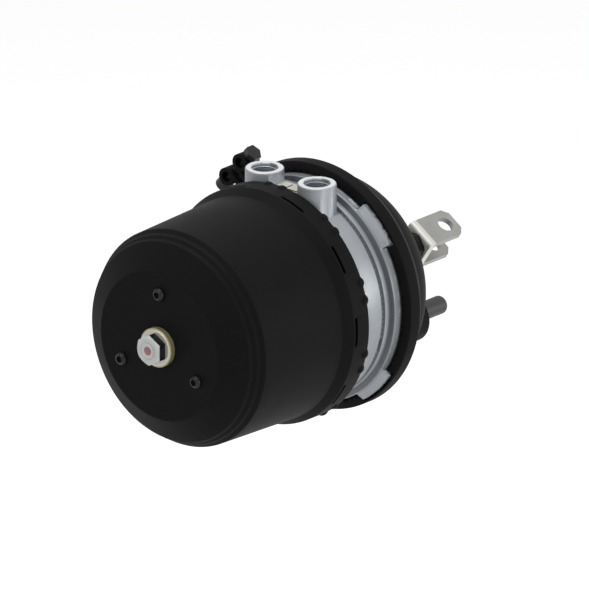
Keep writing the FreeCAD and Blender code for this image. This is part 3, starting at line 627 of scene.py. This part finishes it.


# Type plate: a small bare plate of pale plated steel on the web between the bosses, pressed with a
# raised border and one slot, whose floor is painted dark as shade. Nothing is written on it.
corner_radius = 1.5 * mm
border = 0.9 * mm
panel_drop = 0.2 * mm
slot_drop = 0.3 * mm
slot_aside = 1.2 * mm
# painted shade: the floor of the slot is coloured near black
slot_painted_shade = (0.03, 0.03, 0.03)
plate_cream = finish("plate_cream", colour=(0.68, 0.66, 0.58), worn=(0.58, 0.56, 0.48), metal=0.1,
                     smoothest=0.45, roughest=0.6, patch=80, fine=1500, relief=0.00001)
plate_low, plate_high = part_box("type_plate")
plate_middle = (plate_low + plate_high) / 2
tree = plate_cream.node_tree
# below this height, in the slot's floor, the plate shows the painted shade
shallow = past(tree, along(tree, "Z"), plate_high.z - panel_drop - slot_drop / 2, soft=0.05 * mm)
sheet_colour = tree.nodes["grain"].outputs["Colour"]
shade_by(tree, "Base Color", add_blend(tree, shallow, slot_painted_shade, sheet_colour, "RGBA"))
bpy.ops.object.select_all(action="DESELECT")
bpy.ops.mesh.primitive_cube_add(size=1, location=plate_middle)
plate = bpy.context.object
plate.name = "pressed_plate"
plate.data.name = plate.name
plate.scale = plate_high - plate_low
bpy.ops.object.transform_apply(location=True, rotation=True, scale=True)
slot_half = Vector((4.0, 0.8, 0)) * mm
slot_middle = Vector((plate_middle.x, slot_aside, 0))


def choose(piece, kind, test):
    """In edit mode, only the edges or polygons whose middle and corners pass a test."""
    bpy.ops.mesh.select_mode(type={"edges": "EDGE", "polygons": "FACE"}[kind])
    bpy.ops.mesh.select_all(action="DESELECT")
    bpy.ops.object.mode_set(mode="OBJECT")
    mesh = piece.data
    for part in getattr(mesh, kind):
        ends = [mesh.vertices[number].co for number in part.vertices]
        part.select = test(sum(ends, Vector()) / len(ends), ends)
    bpy.ops.object.mode_set(mode="EDIT")


def upright(middle, ends):
    """An edge that runs up the plate's thickness."""
    return abs(ends[0].z - ends[1].z) > 0.1 * mm


def on_top(middle, ends):
    """A face that lies in the plate's top."""
    return min(end.z for end in ends) > plate_high.z - touch


def on_panel(middle, ends):
    """A face that lies in the sunk panel."""
    return abs(middle.z - plate_high.z + panel_drop) < touch


def on_slot(middle, ends):
    """A face of the panel where the slot goes."""
    aside = middle - slot_middle
    return on_panel(middle, ends) and abs(aside.x) < slot_half.x and abs(aside.y) < slot_half.y


bpy.ops.object.mode_set(mode="EDIT")
choose(plate, "edges", upright)
bpy.ops.mesh.bevel(offset=corner_radius, segments=4)
choose(plate, "polygons", on_top)
bpy.ops.mesh.inset(thickness=border, depth=-panel_drop)
for side in (slot_half.x * Vector((1, 0, 0)), slot_half.y * Vector((0, 1, 0))):
    for edge in (slot_middle - side, slot_middle + side):
        choose(plate, "polygons", on_panel)
        bpy.ops.mesh.bisect(plane_co=edge, plane_no=side.normalized())
choose(plate, "polygons", on_slot)
bpy.ops.mesh.extrude_region_move(TRANSFORM_OT_translate={"value": (0, 0, -slot_drop)})
bpy.ops.object.mode_set(mode="OBJECT")
smooth(plate, angle=30)
fit(plate, "type_plate", "housing", plate_cream)


# Clamp: a rolled V-section steel band with barrel ends, painted like the bowl, and drawn together
# by a hexagon bolt with a long round nut, both plain grey steel.
band = smooth_copy("clamp_ring", "clamp_band", angle=32)
fit(band, "clamp_ring", "housing", housing_paint)

grey_steel = finish("grey_steel", colour=(0.022, 0.022, 0.023), worn=(0.040, 0.040, 0.041), metal=0.3,
                    smoothest=0.34, roughest=0.48, patch=60, fine=1400, relief=0.00002, specular=0.25)
clamp_screw = smooth_copy("clamp_bolt", "clamp_screw", angle=28)
fit(clamp_screw, "clamp_bolt", "housing", grey_steel)
clamp_sleeve = smooth_copy("clamp_nut", "clamp_sleeve_nut", angle=28)
fit(clamp_sleeve, "clamp_nut", "housing", grey_steel)


# Rear bowl: a deep-drawn steel dome with two raised bracket pads, painted satin black.
# A rubber boot closes it round the push rod.
dome = smooth_copy("rear_housing", "rear_bowl", angle=32)
fit(dome, "rear_housing", "housing", housing_paint)
boot = smooth_copy("rod_boot", "rod_gaiter", angle=32)
fit(boot, "rod_boot", "housing", rubber)


# Studs: two headed steel studs pressed through the bracket pads, their ends rounded.
# Dull grey phosphate over a shank that looks smooth.
stud_grey = finish("stud_grey", colour=(0.050, 0.050, 0.051), worn=(0.075, 0.075, 0.076), metal=0.3,
                   smoothest=0.4, roughest=0.55, patch=60, fine=1400, relief=0.00002, specular=0.25)
studs = smooth_copy("mounting_studs", "bracket_studs", angle=28)
fit(studs, "mounting_studs", "housing", stud_grey)


# Push rod: a round steel rod, phosphated like the studs, with a rolled thread on its free end.
# That end is turned down to the thread's root and carries its ridge.
rod_radius = 8.0 * mm
thread_start = 28.0 * mm
thread_height = 0.9 * mm
run_in = 1.0 * mm
first_turn = 1.6 * mm
thread_stop = 4.0 * mm
end_margin = 0.1 * mm
rod_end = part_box("push_rod")[1].x
ahead = Vector((1, 0, 0))
rod = merged_copy("push_rod", "threaded_rod")
bpy.ops.object.mode_set(mode="EDIT")
for ring in (thread_start, thread_start + run_in):
    bpy.ops.mesh.select_all(action="SELECT")
    bpy.ops.mesh.bisect(plane_co=(ring, 0, 0), plane_no=ahead)
bpy.ops.object.mode_set(mode="OBJECT")
widen(rod, Vector((0, 0, 0)), ahead, rod_radius, rod_radius - thread_height,
      thread_start + run_in / 2, rod_end - end_margin)
smooth(rod, angle=28)
fit(rod, "push_rod", "rod", stud_grey)
rod_turns = int((rod_end - thread_start - thread_stop) / pitch)
rod_thread = thread_ridge("rod_thread", ahead * (thread_start + first_turn), ahead,
                          rod_radius - thread_height - ridge_sink, rod_radius, pitch, rod_turns)
wear(rod_thread, stud_grey)
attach(rod_thread, "rod")


# Lock nut: a thin hexagon nut in black oxide, screwed up against the clevis.
# It keeps the clevis from turning on the rod.
nut_black = finish("nut_black", colour=(0.0055, 0.0055, 0.0058), worn=(0.010, 0.010, 0.0105),
                   metal=0.0, smoothest=0.35, roughest=0.50, patch=60, fine=1600, relief=0.00001,
                   specular=0.08)
nut = smooth_copy("clevis_lock_nut", "lock_nut", angle=25)
fit(nut, "clevis_lock_nut", "rod", nut_black)


# Clevis: a fork bent from thick steel plate, with a pin hole through both ears and plated in pale
# zinc. Its web carries a painted highlight, and it is screwed on the push rod's end.
web_depth = 7.0 * mm
# painted highlight: a much brighter zinc on the web, standing in for light falling on it
painted_highlight_zinc = (0.74, 0.73, 0.68)
pale_zinc = finish("pale_zinc", colour=(0.40, 0.395, 0.38), worn=(0.33, 0.325, 0.31), metal=0.35,
                   smoothest=0.38, roughest=0.52, patch=45, fine=1200, relief=0.00002)
tree = pale_zinc.node_tree
web_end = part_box("clevis")[0].x + web_depth
on_ears = past(tree, along(tree, "X"), web_end, soft=2.0 * mm)
# the web, before the ears, gets the painted highlight
painted_highlight = add_math(tree, "SUBTRACT", 1.0, on_ears)
ear_zinc = tree.nodes["grain"].outputs["Colour"]
shade_by(tree, "Base Color", add_blend(tree, painted_highlight, ear_zinc, painted_highlight_zinc, "RGBA"))
fork = smooth_copy("clevis", "bent_clevis", angle=28)
fit(fork, "clevis", "rod", pale_zinc)
